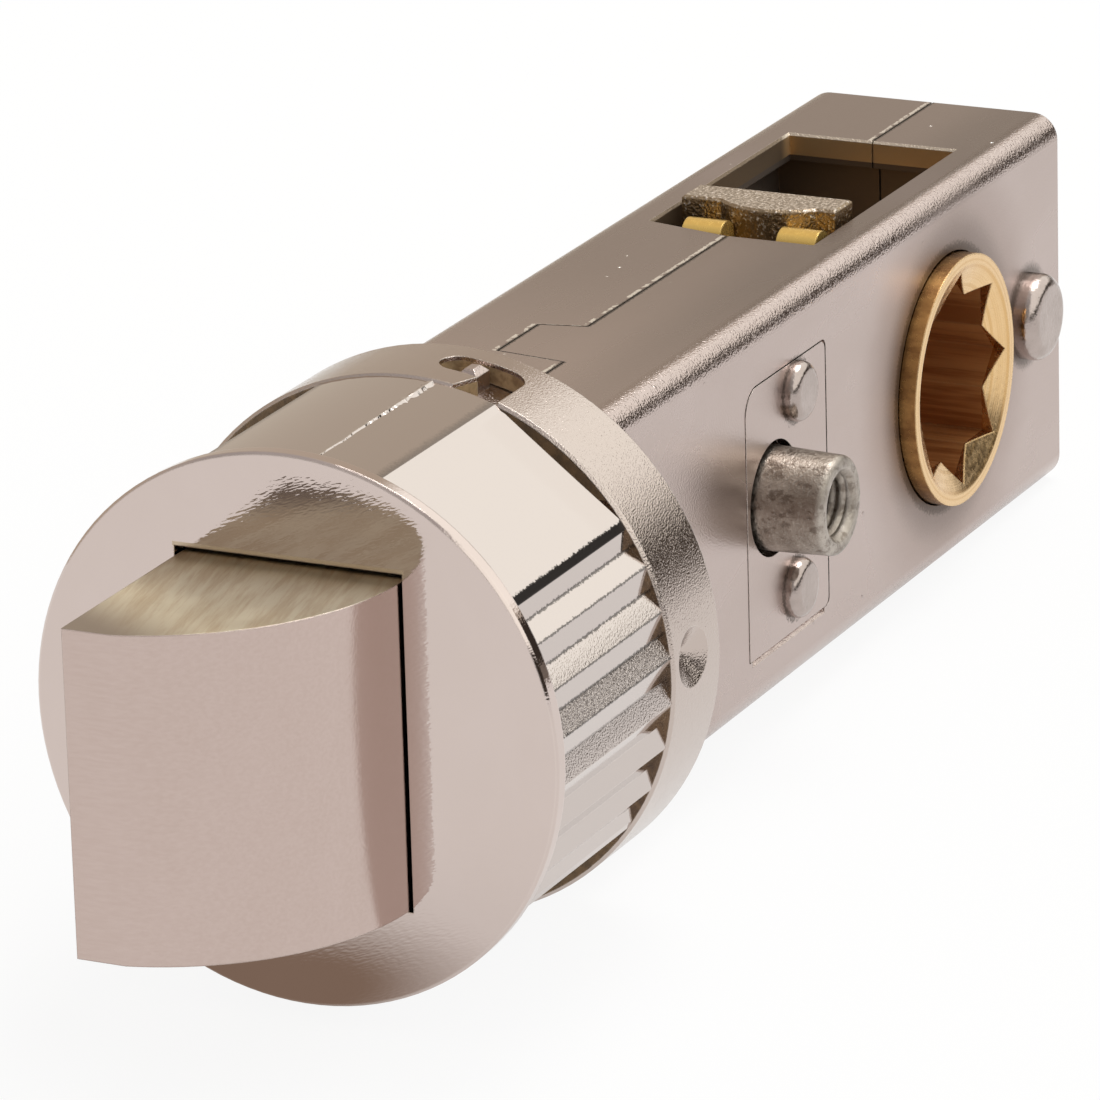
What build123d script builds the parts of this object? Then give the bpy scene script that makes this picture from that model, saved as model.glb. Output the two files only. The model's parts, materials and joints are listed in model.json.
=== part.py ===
from build123d import *
import os
from math import cos, radians, sin, sqrt

# Names below ending in _r are radii, and _x, _y and _z are places in the part's own frame.

# Mortice privacy latch, in millimetres.
# The origin is the centre of the forend disc's front face. +X runs out of the door's edge with the bolt,
# +Y points to the side with the privacy boss, and +Z is up. Clock angles run from the top towards +Y.

# What fills the door's bore: the disc and the ring share this radius, and the nose stands a little in
bore_r = 12.7
nose_inset = 0.1

# Forend disc
disc_thick = 0.7
disc_edge = 0.12
disc_top_gap = 0.42
post_r = 1.1
post_length = 3.0
post_y = 8.9
post_clearance = 0.05

# Bolt
bolt_width = 10.8
bolt_height = 15.0
bolt_reach = 10.4
bolt_body_rear = -9.0
bolt_clearance = 0.12
bevel_r = 11.0
bevel_start = -0.3

# Nose: a smooth arc and a flat at top and bottom, serrations at the sides, a broken corner between
nose_rear = -11.9
arc_half_angle = 20.0
tooth_count = 7
tooth_pitch = 9.75
tooth_depth = 0.38
brow_on_flat = 0.14
brow_on_tooth = 0.26

# Collar ring on the neck
ring_width = 4.95
ring_wall = 0.95
ring_clearance = 0.05
ring_edge = 0.15
ring_slot_width = 1.9
ring_slot_length = 4.0
ring_slot_set = 2.65
ring_slot_y = 2.4
ring_mouth_left = 2.4
ring_mouth_right = 4.4
ring_mouth_slant = 0.5
dimple_r = 1.55
dimple_depth = 0.75
dimple_set = 2.05
dimple_z = 0.55
lug_length = 1.3
lug_width = 1.0
lug_edge = 0.3
lug_y = 1.95

# Case
case_width = 13.7
case_height = 19.2
case_rear = -71.65
case_edge_r = 1.3
case_end_edge = 0.25
side_wall = 1.35
top_wall = 1.4
cavity_rear = -64.6
cavity_lead = 0.5
half_step = 0.2

# Seam between the halves, seen from above
seam_gap = 0.08
seam_nose_y = 1.3
seam_middle_y = -2.3
seam_rear_y = 0.0
seam_front_jog = -25.3
seam_rear_jog = -30.2
seam_jog_run = 0.5

# Windows for the cross bars, top and bottom
window_front = -46.2
window_front_slant = 1.05
window_rear = -63.7
window_width = 8.9
window_edge = 0.12

# Follower
backset = 57.0
hub_r = 6.25
hub_stand = 0.9
hub_clearance = 0.08
shoulder_r = 6.6
shoulder_clearance = 0.15
spindle_square = 7.7
spindle_turn = 45.0
dish_r = 5.75
dish_floor_r = 4.0
dish_depth = 0.75
finger_tip_r = 0.9
finger_top = 9.65
finger_bar_gap = 0.04
finger_root_high = (4.8, 4.0)
finger_root_low = (6.3, 1.6)
finger_heel = 5.9
finger_toe = 5.6
finger_middle_y = 0.52
finger_half_gap = 1.47
finger_width = 2.05

# Tail yoke
plate_thick = 2.0
plate_clearance = 0.2
limb_width = 1.8
limb_over_shoulder = 0.15
limb_wall_gap = 0.1
bar_front = -49.85
bar_thick = 2.1
bar_top = 10.2
bar_side_clearance = 0.4
bar_bulge = 1.0
bar_bulge_half = 2.5
bar_top_edge = 0.12
stop_lug_depth = 1.7
stop_lug_length = 1.0
stop_lug_gap = 0.05

# Bridge across the case that carries the springs
bridge_front = -28.3
bridge_thick = 3.6
bridge_limb_gap = 0.3
bridge_wall_gap = 0.05

# Springs
latch_spring_r = 2.1
latch_spring_wire = 0.7
latch_spring_turns = 7
return_spring_r = 1.45
return_spring_wire = 0.5
return_spring_turns = 8
return_spring_z = 4.5
spigot_length = 2.4
spigot_clearance = 0.15
spring_seat_gap = 0.02
wire_sides = 8

# Rivets that hold the yoke to the bolt
tail_rivet_r = 0.9
tail_rivet_depth = 6.0
tail_rivet_head = 0.8
rivet_clearance = 0.02

# Privacy slider
boss_x = -35.9
boss_z = 0.35
boss_r = 2.5
boss_tip_r = 2.38
boss_stand = 3.45
boss_edge = 0.3
boss_clearance = 0.3
thread_r = 1.5
thread_depth = 7.0
thread_mouth = 0.3
slider_travel = 2.8
block_front = -33.4
block_length = 5.0
block_height = 12.8
block_width = 4.2
block_wall_gap = 0.2
block_waist = 6.4
block_waist_cut = 1.2
stub_r = 2.2
stub_clearance = 0.12
stub_set_back = 0.25

# Ball that holds the slider at either end of its travel
ball_r = 1.0
ball_clearance = 0.05
ball_set = 0.8
ball_sink = 0.25
ball_gap = 0.03
ball_pocket_depth = 0.2
ball_tube_wall = 0.75
ball_tube_gap = 0.25
detent_spring_wire = 0.3
detent_spring_turns = 4
detent_spring_length = 2.4

# Inset plate round the boss, with its two staked rivets
plate_front = -32.8
plate_rear = -41.95
plate_top = 6.35
plate_bottom = -6.85
plate_inset = 0.6
plate_corner_r = 1.3
plate_rear_corner_r = 0.45
plate_gap = 0.05
plate_rear_gap = 0.2
pocket_lower_edge = 0.28
plate_proud = 0.03
stake_r = 1.45
stake_stand = 0.7
stake_edge = 0.5
stake_shank_r = 0.8
stake_upper = (-38.5, 4.85)
stake_lower = (-38.2, -4.8)

# Rear rivet
rear_rivet_x = -67.2
rear_rivet_z = 0.25
rear_rivet_r = 1.7
rear_head_r = 2.2
rear_head_stand = 1.3
rear_head_edge = 0.7
rear_tail_stand = 0.6
rear_tail_edge = 0.45

# Small margin by which a cut runs past a face
over = 1.0

# Sizes worked out from those above
half_width = case_width / 2
half_height = case_height / 2
cavity_half_width = half_width - side_wall
cavity_half_height = half_height - top_wall
nose_r = bore_r - nose_inset
ring_inner_r = bore_r - ring_wall
neck_r = ring_inner_r - ring_clearance
ring_rear = nose_rear - ring_width
guide_half_width = bolt_width / 2 + bolt_clearance
guide_half_height = bolt_height / 2 + bolt_clearance
limb_inner = shoulder_r + limb_over_shoulder
limb_outer = cavity_half_height - limb_wall_gap
plate_rear_face = bolt_body_rear - plate_thick
bridge_rear = bridge_front - bridge_thick
hub_half_length = half_width + hub_stand
ring_slot_x = nose_rear - ring_slot_set
dimple_x = nose_rear - dimple_set
bar_bulge_r = (bar_bulge_half**2 + bar_bulge**2) / (2 * bar_bulge)
bar_contact = bar_front + bar_bulge - bar_bulge_r + sqrt(bar_bulge_r**2 - finger_half_gap**2)
block_outer = cavity_half_width - block_wall_gap
block_inner = block_outer - block_width
ball_x = block_front + ball_r - ball_sink + ball_gap
ball_y = block_inner + ball_set
ball_tube_rear = block_front + ball_tube_gap


def block(x0, x1, y0, y1, z0, z1):
    """A box given by the places of its faces."""
    middle = Pos((x0 + x1) / 2, (y0 + y1) / 2, (z0 + z1) / 2)
    return middle * Box(abs(x1 - x0), abs(y1 - y0), abs(z1 - z0))


def rod_x(radius, x0, x1, y=0.0, z=0.0):
    """A round bar along X."""
    return Pos((x0 + x1) / 2, y, z) * Rot(0, 90, 0) * Cylinder(radius, abs(x1 - x0))


def rod_y(radius, y0, y1, x=0.0, z=0.0):
    """A round bar along Y."""
    return Pos(x, (y0 + y1) / 2, z) * Rot(90, 0, 0) * Cylinder(radius, abs(y1 - y0))


def turned_y(profile, x, z):
    """A turned form about a line along Y, from (radius, y) points."""
    face = make_face(Polyline([(r, y, 0) for r, y in profile], close=True))
    return Pos(x, 0, z) * revolve(face, Axis.Y)


def clock_point(radius, angle):
    """A point (y, z) on a circle about the bolt's line."""
    return (radius * sin(radians(angle)), radius * cos(radians(angle)))


def half_turn(shape):
    """The same shape, turned half round the bolt's line."""
    return Rot(180, 0, 0) * shape


def section_bar(face, x0, x1):
    """A face in the YZ plane, drawn out along X."""
    return extrude(Pos(x0, 0, 0) * face, amount=abs(x1 - x0), dir=(-1, 0, 0))


def coil_spring(radius, wire, turns, x_front, x_rear, y=0.0, z=0.0):
    """A compression spring along X between two seats."""
    pitch = (x_front - x_rear - wire) / turns
    helix = Helix(pitch=pitch, height=pitch * turns, radius=radius)
    start = Plane(origin=helix @ 0, z_dir=helix % 0)
    coil = sweep(start * RegularPolygon(wire / 2, wire_sides), path=helix, is_frenet=True)
    return Pos(x_rear + wire / 2, y, z) * Rot(0, 90, 0) * coil


def brow(flat_end, crest, root):
    """The two points that break the corner between a flat and the first serration."""
    corner = Vector(*crest)
    on_flat = corner + brow_on_flat * (Vector(*flat_end) - corner).normalized()
    on_tooth = corner + brow_on_tooth * (Vector(*root) - corner).normalized()
    return [(on_flat.X, on_flat.Y), (on_tooth.X, on_tooth.Y)]


def nose_face():
    """The nose's outline: arc, flat, serrations and flat down the right, and the same up the left."""
    first_crest = 90 - tooth_count * tooth_pitch / 2
    crests = [clock_point(nose_r, first_crest + k * tooth_pitch) for k in range(tooth_count + 1)]
    root_r = nose_r - tooth_depth
    roots = [clock_point(root_r, first_crest + (k + 0.5) * tooth_pitch) for k in range(tooth_count)]
    top = clock_point(nose_r, arc_half_angle)
    bottom = clock_point(nose_r, 180 - arc_half_angle)
    right = [top] + brow(top, crests[0], roots[0])
    for root, crest in zip(roots, crests[1:-1]):
        right += [root, crest]
    right += [roots[-1]] + brow(bottom, crests[-1], roots[-1])[::-1] + [bottom]
    left = [(-y, z) for y, z in reversed(right)]
    outline = (
        ThreePointArc(left[-1], (0, nose_r), right[0])
        + Polyline(right)
        + ThreePointArc(right[-1], (0, -nose_r), left[0])
        + Polyline(left)
    )
    return Plane.YZ * make_face(outline)


def guide_way(x0, x1):
    """The bolt's way through the disc and the nose."""
    return block(x0, x1, -guide_half_width, guide_half_width, -guide_half_height, guide_half_height)


def forend_disc():
    disc = rod_x(bore_r, 0, -disc_thick)
    front = disc.faces().sort_by(Axis.X)[-1]
    disc = chamfer(front.edges(), disc_edge)
    for side in (-1, 1):
        disc += rod_x(post_r, -disc_thick, -disc_thick - post_length, side * post_y)
    way_top = bolt_height / 2 + disc_top_gap
    disc -= block(-disc_thick - over, over, -guide_half_width, guide_half_width, 0, way_top)
    return disc - guide_way(-disc_thick - over, over)


def bayonet_lug():
    """The lug on the neck that stands in the ring's slot."""
    lug = block(
        ring_slot_x - lug_length / 2, ring_slot_x + lug_length / 2,
        lug_y - lug_width / 2, lug_y + lug_width / 2,
        neck_r - over, sqrt(bore_r**2 - lug_y**2),
    )
    top = lug.faces().sort_by(Axis.Z)[-1]
    return chamfer(top.edges(), lug_edge)


def window_face(grow, slant):
    """The window's outline, whose front edge slants back on the left half."""
    side = window_width / 2 + grow
    front = window_front + grow
    rear = window_rear - grow
    corner = front - slant
    return make_face(
        Polyline((front, side), (rear, side), (rear, -side), (corner, -side), (front, 0), close=True)
    )


def window(slant):
    """The upper window, with its outer edge broken."""
    opening = window_face(0.0, slant)
    cut = extrude(opening, amount=half_height + over, dir=(0, 0, 1))
    rim = Pos(0, 0, half_height) * window_face(window_edge, slant)
    bevel = loft([rim, Pos(0, 0, half_height - window_edge) * opening])
    return cut + bevel


def case_shell():
    """Both halves as one hollow casting, before it is parted."""
    section = Plane.YZ * RectangleRounded(case_width, case_height, case_edge_r)
    body = section_bar(section, ring_rear, case_rear)
    body = chamfer(body.faces().sort_by(Axis.X)[0].edges(), case_end_edge)
    shell = section_bar(nose_face(), -disc_thick, nose_rear)
    shell += rod_x(neck_r, nose_rear, ring_rear)
    shell += body
    cavity_front = plate_rear_face + cavity_lead
    cavity = block(
        cavity_rear, cavity_front,
        -cavity_half_width, cavity_half_width,
        -cavity_half_height, cavity_half_height,
    )
    shell -= guide_way(cavity_front, over) + cavity
    shell -= window(window_front_slant)
    shell -= half_turn(window(0.0))
    post_end = -disc_thick - post_length - post_clearance
    for side in (-1, 1):
        shell -= rod_x(post_r + post_clearance, over, post_end, side * post_y)
    outside = half_width + over
    shell -= rod_y(hub_r + hub_clearance, -outside, outside, -backset)
    shell -= rod_y(rear_rivet_r + rivet_clearance, -outside, outside, rear_rivet_x, rear_rivet_z)
    return shell


def seam_points(gap):
    """The seam's line seen from above, moved by the gap."""
    front_jog = seam_front_jog - gap
    rear_jog = seam_rear_jog + gap
    half_run = seam_jog_run / 2
    return [
        (over, seam_nose_y + gap),
        (front_jog + half_run, seam_nose_y + gap),
        (front_jog - half_run, seam_middle_y + gap),
        (rear_jog + half_run, seam_middle_y + gap),
        (rear_jog - half_run, seam_rear_y + gap),
        (case_rear - over, seam_rear_y + gap),
    ]


def seam_side(gap, side):
    """Everything on one side of the seam."""
    far_y = side * (bore_r + over)
    points = seam_points(gap) + [(case_rear - over, far_y), (over, far_y)]
    face = make_face(Polyline(points, close=True))
    tall = bore_r + over
    return Pos(0, 0, -tall) * extrude(face, amount=2 * tall, dir=(0, 0, 1))


def spring_bridge():
    """The wall across the left half that the springs push on, with the detent's tube behind it."""
    half = limb_inner - bridge_limb_gap
    rooted = -cavity_half_width - side_wall / 2
    bridge = block(bridge_rear, bridge_front, rooted, cavity_half_width - bridge_wall_gap, -half, half)
    spigot_end = bridge_front + spigot_length
    main_r = latch_spring_r - latch_spring_wire / 2 - spigot_clearance
    side_r = return_spring_r - return_spring_wire / 2 - spigot_clearance
    bridge += rod_x(main_r, bridge_front, spigot_end)
    for side in (-1, 1):
        bridge += rod_x(side_r, bridge_front, spigot_end, 0, side * return_spring_z)
    bridge += rod_x(ball_r + ball_clearance + ball_tube_wall, bridge_rear, ball_tube_rear, ball_y, boss_z)
    pocket_end = ball_x + ball_r + detent_spring_length
    bridge -= rod_x(ball_r + ball_clearance, pocket_end, ball_tube_rear - over, ball_y, boss_z)
    return bridge


def plate_outline(grow, rear_grow):
    """The inset plate's outline, seen from the right: a large corner at the front, small ones behind."""
    front = plate_front + grow
    rear = plate_rear - rear_grow
    top = plate_top + grow
    bottom = plate_bottom - grow
    outline = make_face(Polyline((front, top), (rear, top), (rear, bottom), (front, bottom), close=True))
    corners = outline.vertices().sort_by(Axis.X)
    outline = fillet(corners[:2], plate_rear_corner_r)
    front_top = outline.vertices().group_by(Axis.X)[-1].sort_by(Axis.Y)[-1]
    return fillet(front_top, plate_corner_r)


def plate_slab(grow, rear_grow, y_in, y_out):
    """The outline as a slab between two places along Y."""
    seen_from_right = Plane(origin=(0, y_out, 0), x_dir=(1, 0, 0), z_dir=(0, -1, 0))
    return extrude(seen_from_right * plate_outline(grow, rear_grow), amount=y_out - y_in, dir=(0, -1, 0))


def plate_pocket():
    """The recess for the plate, with the wall's edge broken below it."""
    low = plate_bottom - plate_gap
    wedge = make_face(
        Polyline(
            (half_width + over, low), (half_width + over, low - pocket_lower_edge - over),
            (half_width - pocket_lower_edge, low), close=True,
        )
    )
    pocket = plate_slab(plate_gap, plate_rear_gap, half_width - plate_inset, half_width + over)
    front = plate_front - pocket_lower_edge
    rear = plate_rear + plate_rear_corner_r
    return pocket + extrude(Pos(front, 0, 0) * (Plane.YZ * wedge), amount=front - rear, dir=(-1, 0, 0))


def plate_holes():
    """The boss's hole and the two rivet holes, through the plate and the wall behind it."""
    holes = rod_y(boss_r + boss_clearance, 0, half_width + over, boss_x, boss_z)
    for x, z in (stake_upper, stake_lower):
        holes += rod_y(stake_shank_r + rivet_clearance, 0, half_width + over, x, z)
    return holes


def left_case(shell):
    half = shell & seam_side(0.0, -1)
    half += half_turn(bayonet_lug())
    half += spring_bridge()
    half -= rod_y(stub_r + stub_clearance, -half_width - over, 0, boss_x, boss_z)
    return half


def right_case(shell):
    half = shell & seam_side(seam_gap, 1)
    half += bayonet_lug()
    half -= block(
        case_rear - over, case_rear + half_step, 0, half_width + over, -half_height - over, half_height + over
    )
    return half - plate_pocket() - plate_holes()


def collar_ring():
    ring = rod_x(bore_r, nose_rear, ring_rear)
    for end in (0, -1):
        rim = ring.faces().sort_by(Axis.X)[end].edges()
        ring = chamfer(rim, ring_edge)
    ring -= rod_x(ring_inner_r, nose_rear + over, ring_rear - over)
    slot = Pos(ring_slot_x, ring_slot_y, 0) * Rot(0, 0, 90) * SlotOverall(ring_slot_length, ring_slot_width)
    mouth = make_face(
        Polyline(
            (ring_slot_x, ring_mouth_left),
            (ring_slot_x + ring_slot_width / 2, ring_mouth_left + ring_mouth_slant / 2),
            (nose_rear + over, ring_mouth_left - ring_mouth_slant),
            (nose_rear + over, ring_mouth_right),
            (ring_slot_x, ring_mouth_right),
            close=True,
        )
    )
    cut = extrude(slot + mouth, amount=bore_r + over, dir=(0, 0, 1))
    ring -= cut
    ring -= half_turn(cut)
    dimple = [(0, bore_r - dimple_depth), (dimple_r, bore_r), (dimple_r, bore_r + over), (0, bore_r + over)]
    return ring - turned_y(dimple, dimple_x, dimple_z)


def tail_rivet_holes():
    """The two holes that run through the yoke's plate into the bolt."""
    radius = tail_rivet_r + rivet_clearance
    front = bolt_body_rear + tail_rivet_depth
    upper = rod_x(radius, plate_rear_face - over, front, 0, return_spring_z)
    return upper + half_turn(upper)


def latch_bolt():
    side = bolt_width / 2
    tip_y = side - bevel_r + sqrt(bevel_r**2 - (bolt_reach - bevel_start) ** 2)
    outline = Polyline(
        (bevel_start, side), (bolt_body_rear, side), (bolt_body_rear, -side),
        (bolt_reach, -side), (bolt_reach, tip_y),
    )
    outline += RadiusArc((bolt_reach, tip_y), (bevel_start, side), -bevel_r)
    bolt = extrude(make_face(outline), amount=bolt_height / 2, both=True)
    return bolt - tail_rivet_holes()


def cross_bar():
    """The bar in the upper window, whose bulged front meets the follower's two fingers."""
    half = window_width / 2 - bar_side_clearance
    rear = bar_front - bar_thick
    left_end = (bar_front, finger_middle_y - bar_bulge_half)
    right_end = (bar_front, finger_middle_y + bar_bulge_half)
    outline = Polyline(
        right_end, (bar_front, half), (rear, half), (rear, -half), (bar_front, -half), left_end
    ) + ThreePointArc(left_end, (bar_front + bar_bulge, finger_middle_y), right_end)
    bar = Pos(0, 0, limb_inner) * extrude(make_face(outline), amount=bar_top - limb_inner, dir=(0, 0, 1))
    return chamfer(bar.faces().sort_by(Axis.Z)[-1].edges(), bar_top_edge)


def tail_yoke():
    half_y = guide_half_width - plate_clearance
    half_z = guide_half_height - plate_clearance
    web = limb_width / 2
    limb = block(bar_front - bar_thick, plate_rear_face, -web, web, limb_inner, limb_outer)
    limb += cross_bar()
    stop_front = bridge_rear - stop_lug_gap
    stop_low = limb_inner - stop_lug_depth
    limb += block(stop_front - stop_lug_length, stop_front, -web, web, stop_low, limb_inner)
    yoke = block(plate_rear_face, bolt_body_rear, -half_y, half_y, -half_z, half_z)
    yoke += limb
    yoke += half_turn(limb)
    return yoke - tail_rivet_holes()


def tail_rivet(z):
    head_r = return_spring_r - return_spring_wire / 2 - spigot_clearance
    shank_end = bolt_body_rear + tail_rivet_depth
    return rod_x(tail_rivet_r, plate_rear_face, shank_end, 0, z) + rod_x(
        head_r, plate_rear_face - tail_rivet_head, plate_rear_face, 0, z
    )


def finger():
    """One finger of the follower: it leans forward off the hub and stands up ahead of the bar."""
    back = backset + bar_contact + finger_bar_gap
    front = back + 2 * finger_tip_r
    tip_z = finger_top - finger_tip_r
    points = [
        finger_root_high, (back, finger_heel), (back, tip_z),
        (front, tip_z), (front, finger_toe), finger_root_low,
    ]
    tip = Pos(back + finger_tip_r, tip_z) * Circle(finger_tip_r)
    flat = make_face(Polyline(points, close=True)) + tip
    upright = Plane(origin=(-backset, 0, 0), x_dir=(1, 0, 0), z_dir=(0, -1, 0))
    return extrude(upright * flat, amount=finger_width, dir=(0, 1, 0))


def follower():
    shoulder = cavity_half_width - shoulder_clearance
    body = rod_y(hub_r, -hub_half_length, hub_half_length, -backset)
    body += rod_y(shoulder_r, -shoulder, shoulder, -backset)
    for inner in (finger_half_gap, -finger_half_gap - finger_width):
        upper = Pos(0, finger_middle_y + inner, 0) * finger()
        body += upper
        body += half_turn(upper)
    for side in (-1, 1):
        face_y = side * hub_half_length
        floor_y = side * (hub_half_length - dish_depth)
        body -= turned_y([(0, floor_y), (dish_floor_r, floor_y), (dish_r, face_y), (0, face_y)], -backset, 0)
    square = Box(spindle_square, 2 * hub_half_length + over, spindle_square)
    body -= Pos(-backset, 0, 0) * square
    return body - Pos(-backset, 0, 0) * Rot(0, spindle_turn, 0) * square


def privacy_slider():
    tip_y = half_width + boss_stand
    stub_y = -half_width + stub_set_back
    half = block_height / 2
    slider = block(block_front - block_length, block_front, block_inner, block_outer, -half, half)
    for side in (-1, 1):
        low = side * block_waist / 2
        high = low + side * block_waist_cut
        notch_rear = block_front - block_waist_cut
        slider -= block(notch_rear, block_front + over, block_inner - over, block_outer + over, low, high)
    boss_outline = [
        (0, block_inner), (boss_r, block_inner), (boss_r, half_width),
        (boss_tip_r, tip_y), (0, tip_y),
    ]
    boss = turned_y(boss_outline, boss_x, boss_z)
    slider += fillet(boss.edges().sort_by(Axis.Y)[-1], boss_edge)
    slider += rod_y(stub_r, stub_y, block_inner, boss_x, boss_z)
    floor_y = tip_y - thread_depth
    bore = [
        (0, floor_y), (thread_r, floor_y), (thread_r, tip_y - thread_mouth),
        (thread_r + thread_mouth, tip_y), (0, tip_y),
    ]
    slider -= turned_y(bore, boss_x, boss_z)
    slider -= rod_y(ball_r, block_inner - over, block_outer + over, ball_x - ball_gap, boss_z)
    for y in (ball_y, ball_y + slider_travel):
        slider -= Pos(ball_x - ball_gap - ball_pocket_depth, y, boss_z) * Sphere(ball_r)
    return slider


def privacy_plate():
    return plate_slab(0.0, 0.0, half_width - plate_inset, half_width + plate_proud) - plate_holes()


def rivet_head(radius, stand, edge, seat, x, z):
    """A flat-topped head that stands towards +Y, with a rounded rim."""
    head = rod_y(radius, seat, seat + stand, x, z)
    return fillet(head.edges().sort_by(Axis.Y)[-1], edge)


def plate_rivet(place):
    x, z = place
    seat = half_width + plate_proud
    shank = rod_y(stake_shank_r, cavity_half_width, seat, x, z)
    return shank + rivet_head(stake_r, stake_stand, stake_edge, seat, x, z)


def rear_rivet():
    shank = rod_y(rear_rivet_r, -half_width, half_width, rear_rivet_x, rear_rivet_z)
    head = rivet_head(rear_head_r, rear_head_stand, rear_head_edge, half_width, rear_rivet_x, rear_rivet_z)
    spread = rivet_head(rear_head_r, rear_tail_stand, rear_tail_edge, half_width, rear_rivet_x, rear_rivet_z)
    return shank + head + mirror(spread, Plane.XZ)


def detent_ball():
    return Pos(ball_x, ball_y, boss_z) * Sphere(ball_r)


def latch_spring():
    front = plate_rear_face - spring_seat_gap
    rear = bridge_front + spring_seat_gap
    return coil_spring(latch_spring_r, latch_spring_wire, latch_spring_turns, front, rear)


def return_spring(z):
    front = plate_rear_face - spring_seat_gap
    rear = bridge_front + spring_seat_gap
    return coil_spring(return_spring_r, return_spring_wire, return_spring_turns, front, rear, 0, z)


def detent_spring():
    rear = ball_x + ball_r + spring_seat_gap
    front = ball_x + ball_r + detent_spring_length - spring_seat_gap
    radius = ball_r - detent_spring_wire
    return coil_spring(radius, detent_spring_wire, detent_spring_turns, front, rear, ball_y, boss_z)


def build_parts():
    shell = case_shell()
    return {
        "forend_disc": forend_disc(),
        "left_case": left_case(shell),
        "right_case": right_case(shell),
        "collar_ring": collar_ring(),
        "latch_bolt": latch_bolt(),
        "tail_yoke": tail_yoke(),
        "tail_rivet_upper": tail_rivet(return_spring_z),
        "tail_rivet_lower": tail_rivet(-return_spring_z),
        "latch_spring": latch_spring(),
        "return_spring_upper": return_spring(return_spring_z),
        "return_spring_lower": return_spring(-return_spring_z),
        "follower": follower(),
        "privacy_slider": privacy_slider(),
        "privacy_plate": privacy_plate(),
        "plate_rivet_upper": plate_rivet(stake_upper),
        "plate_rivet_lower": plate_rivet(stake_lower),
        "rear_rivet": rear_rivet(),
        "detent_ball": detent_ball(),
        "detent_spring": detent_spring(),
    }


os.makedirs("parts", exist_ok=True)
for name, shape in build_parts().items():
    export_step(shape, f"parts/{name}.step")
    print(name, round(shape.volume, 2), shape.is_valid)
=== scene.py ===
import bpy
import bmesh
import json
from math import cos, pi, radians, sin
from mathutils import Matrix, Vector, noise

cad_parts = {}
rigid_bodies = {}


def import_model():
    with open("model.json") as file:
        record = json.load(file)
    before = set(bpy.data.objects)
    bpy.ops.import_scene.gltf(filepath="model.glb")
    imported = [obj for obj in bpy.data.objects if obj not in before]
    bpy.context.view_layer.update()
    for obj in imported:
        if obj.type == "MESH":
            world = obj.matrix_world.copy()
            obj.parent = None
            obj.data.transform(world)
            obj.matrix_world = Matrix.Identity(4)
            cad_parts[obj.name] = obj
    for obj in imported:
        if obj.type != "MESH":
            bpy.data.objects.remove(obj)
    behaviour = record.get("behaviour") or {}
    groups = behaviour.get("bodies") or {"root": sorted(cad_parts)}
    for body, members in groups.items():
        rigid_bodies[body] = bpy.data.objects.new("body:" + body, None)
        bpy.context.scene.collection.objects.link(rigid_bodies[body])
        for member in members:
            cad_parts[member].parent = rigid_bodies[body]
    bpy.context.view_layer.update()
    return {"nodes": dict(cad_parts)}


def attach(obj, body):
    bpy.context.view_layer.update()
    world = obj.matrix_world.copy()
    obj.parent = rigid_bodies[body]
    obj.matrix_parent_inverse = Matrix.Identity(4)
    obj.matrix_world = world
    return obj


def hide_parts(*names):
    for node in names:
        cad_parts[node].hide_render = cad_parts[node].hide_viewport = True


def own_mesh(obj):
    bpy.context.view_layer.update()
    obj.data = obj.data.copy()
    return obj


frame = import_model()

# Mortice privacy latch, in metres: +X out with the bolt, +Y to the boss side, +Z up.

# Places shared with the solids
RING_R = 0.0127
NOSE_R = 0.0126
NOSE_REAR_X = -0.0119
RING_REAR_X = -0.01685
CASE_REAR_X = -0.07165
CASE_HALF_HEIGHT = 0.0096
CASE_INNER_HALF_WIDTH = 0.00556
SEAM_Y = 0.0013
HOLE_TOP_Z = 0.00792
HOLE_HALF_WIDTH = 0.0056
WINDOW_HALF_WIDTH = 0.00445
FOLLOWER_X = -0.057
REAR_RIVET_X = -0.0672
REAR_RIVET_Z = 0.00025
UPPER_STAKE = (-0.0385, 0.00485)
LOWER_STAKE = (-0.0382, -0.0048)
BOSS_X = -0.0359
BOSS_Z = 0.00035
BOSS_TIP_Y = 0.0103
THREAD_R = 0.0015
THREAD_CREST_R = 0.00127
THREAD_PITCH = 0.0005
THREAD_DEPTH = 0.0045
THREAD_START = 0.0004
SPRING_REAR_X = -0.02828
SPRING_FRONT_X = -0.01102
SPRING_RUN = SPRING_FRONT_X - SPRING_REAR_X
RETURN_SPRING_Z = 0.0045

# Finishes, as linear colours
BLACK = (0.0, 0.0, 0.0, 1.0)
WHITE = (1.0, 1.0, 1.0, 1.0)
NICKEL = (0.52, 0.43, 0.40, 1.0)
NICKEL_PATCH = (0.49, 0.40, 0.365, 1.0)
NICKEL_DISC = (0.63, 0.535, 0.50, 1.0)
NICKEL_DISC_PATCH = (0.60, 0.505, 0.465, 1.0)
NICKEL_BOLT = (0.54, 0.43, 0.39, 1.0)
NICKEL_BOLT_PATCH = (0.52, 0.41, 0.365, 1.0)
NICKEL_BOLT_COMBED = (0.60, 0.49, 0.45, 1.0)
NICKEL_RING = (0.545, 0.465, 0.425, 1.0)
NICKEL_RING_PATCH = (0.54, 0.46, 0.415, 1.0)
NICKEL_RIVET = (0.47, 0.40, 0.37, 1.0)
NICKEL_RIVET_PATCH = (0.36, 0.30, 0.27, 1.0)
NICKEL_DARK = (0.22, 0.18, 0.15, 1.0)
NICKEL_BRIGHT = (0.80, 0.73, 0.67, 1.0)
NOSE_NICKEL = (0.585, 0.52, 0.49, 1.0)
# Painted dark reflection and shade on the nose
NOSE_PAINTED_DARK = (0.045, 0.038, 0.035, 1.0)
# Pale specks, and a painted highlight beside the seam
BURR_AND_HIGHLIGHT = (1.0, 0.97, 0.92, 1.0)
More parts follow.
